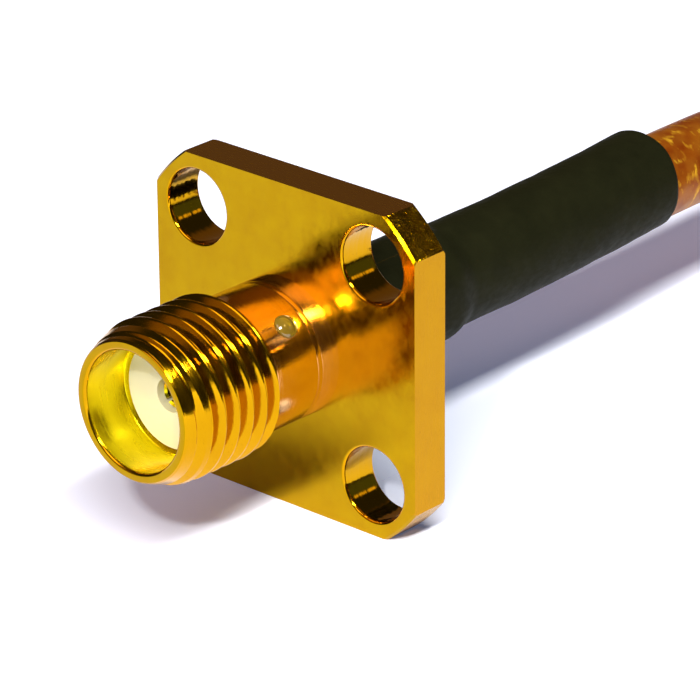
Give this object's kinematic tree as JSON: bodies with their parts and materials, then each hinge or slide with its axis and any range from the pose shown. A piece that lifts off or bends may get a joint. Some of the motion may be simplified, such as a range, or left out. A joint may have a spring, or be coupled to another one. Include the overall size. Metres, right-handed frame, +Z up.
{
  "type": "coaxial panel jack",
  "caption": "Gold-plated threaded coaxial socket on a square flange with corner screw holes, crimped to a thin brown coaxial cable under a black shrink sleeve.",
  "frame": {"origin": "where the jack's axis meets the front face of the flange", "axes": "+Z is up with the flange standing on its lower edge, the mouth faces -Y and the cable leaves towards +Y"},
  "size_m": [0.0399, 0.0828, 0.0126],
  "materials": {
    "gold_plate": "gold plated, fine turned and milled marks",
    "ptfe": "white fluoropolymer",
    "epoxy": "clear amber resin",
    "solder": "bright solder",
    "silver_braid": "silver-plated copper braid",
    "silver_wire": "silver-plated wire",
    "cable_jacket": "clear brown fluoropolymer over braid",
    "sleeve": "black shrink tubing"
  },
  "bodies": {
    "root": {"jack_body": "gold_plate", "front_insulator": "ptfe", "rear_insulator": "ptfe", "centre_contact": "gold_plate", "contact_solder": "solder", "epoxy_plug": "epoxy", "crimp_ferrule": "gold_plate", "inner_braid": "silver_braid", "outer_braid": "silver_braid", "cable_core": "ptfe", "centre_conductor": "silver_wire", "shrink_sleeve": "sleeve", "cable_lead": "cable_jacket", "cable_coil": "cable_jacket", "cable_tail": "cable_jacket", "tail_outer_braid": "silver_braid", "tail_inner_braid": "silver_braid", "tail_core": "ptfe", "tail_wire": "silver_wire"}
  },
  "joints": []
}
